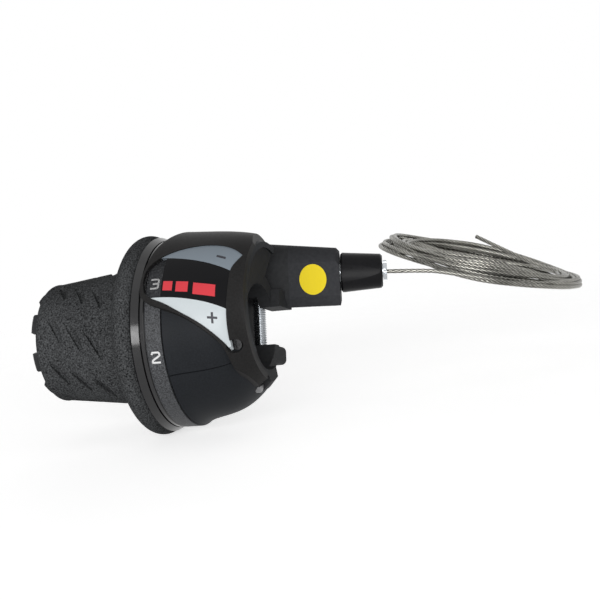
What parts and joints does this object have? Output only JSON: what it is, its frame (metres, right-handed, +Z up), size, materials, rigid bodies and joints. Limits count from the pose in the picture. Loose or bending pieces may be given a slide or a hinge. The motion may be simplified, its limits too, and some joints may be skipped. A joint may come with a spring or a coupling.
{
  "type": "twist grip shifter",
  "caption": "Handlebar twist shifter with ribbed rubber grip, gear window, split clamp, cable outlet with fluted adjuster and a coiled steel shift cable.",
  "frame": {"origin": "on the handlebar's axis, beside the clamp bolt", "axes": "+X along the handlebar towards the bike's centre, -Y to the front, +Z up"},
  "size_m": [0.1308, 0.1181, 0.0519],
  "materials": {
    "body_plastic": "satin",
    "cover_plastic": "satin",
    "bezel_plastic": "satin",
    "lens_clear": "gloss",
    "zinc_steel": "zinc plated",
    "black_steel": "black oxide",
    "guide_nylon": "natural",
    "cable_steel": "stranded",
    "grip_rubber": "textured",
    "barrel_plastic": "gloss",
    "ring_plastic": "textured",
    "knob_plastic": "satin",
    "label_yellow": "printed"
  },
  "bodies": {
    "housing": {"main_body": "body_plastic", "upper_cover": "cover_plastic", "lower_cover": "cover_plastic", "indicator_bezel": "bezel_plastic", "indicator_lens": "lens_clear", "clamp_bolt": "zinc_steel", "clamp_nut": "zinc_steel", "boss_screw": "zinc_steel", "cover_screw": "black_steel", "cable_outlet": "cover_plastic", "round_label": "label_yellow", "cable_guide": "guide_nylon", "cable_elbow": "cable_steel", "detent_spring": "zinc_steel", "thrust_washer": "guide_nylon"},
    "twist_grip": {"twist_barrel": "barrel_plastic", "rubber_grip": "grip_rubber", "number_ring": "ring_plastic", "cable_nipple": "zinc_steel", "cable_wrap": "cable_steel"},
    "cable": {"cable_run": "cable_steel", "cable_coil": "cable_steel", "cable_tail": "cable_steel"},
    "casing_seat": {"casing_seat": "zinc_steel"},
    "adjuster": {"adjuster_screw": "zinc_steel", "adjuster_knob": "knob_plastic"}
  },
  "joints": [
    {"name": "grip_twist", "type": "hinge", "parent": "housing", "child": "twist_grip", "pos_m": [0, 0, 0], "axis": [1, 0, 0], "range_deg": [-125, 0], "deforming": ["detent_spring", "cable_wrap"]},
    {"name": "cable_pull", "type": "slide", "parent": "housing", "child": "cable", "axis": [0.9632, 0.2581, -0.0748], "range_m": [0, 0.0325]},
    {"name": "adjuster_slide", "type": "slide", "parent": "housing", "child": "casing_seat", "axis": [0.9632, 0.2581, -0.0748], "range_m": [0, 0.0025]},
    {"name": "adjuster_turn", "type": "hinge", "parent": "casing_seat", "child": "adjuster", "pos_m": [0.02505, 0.02763, 0.00852], "axis": [0.9632, 0.2581, -0.0748], "range_deg": [0, 1080]}
  ],
  "couplings": [
    {"joint": "cable_pull", "follows": "grip_twist", "m_per_rad": -0.0149},
    {"joint": "adjuster_turn", "follows": "adjuster_slide", "rad_per_m": 7539.8}
  ]
}
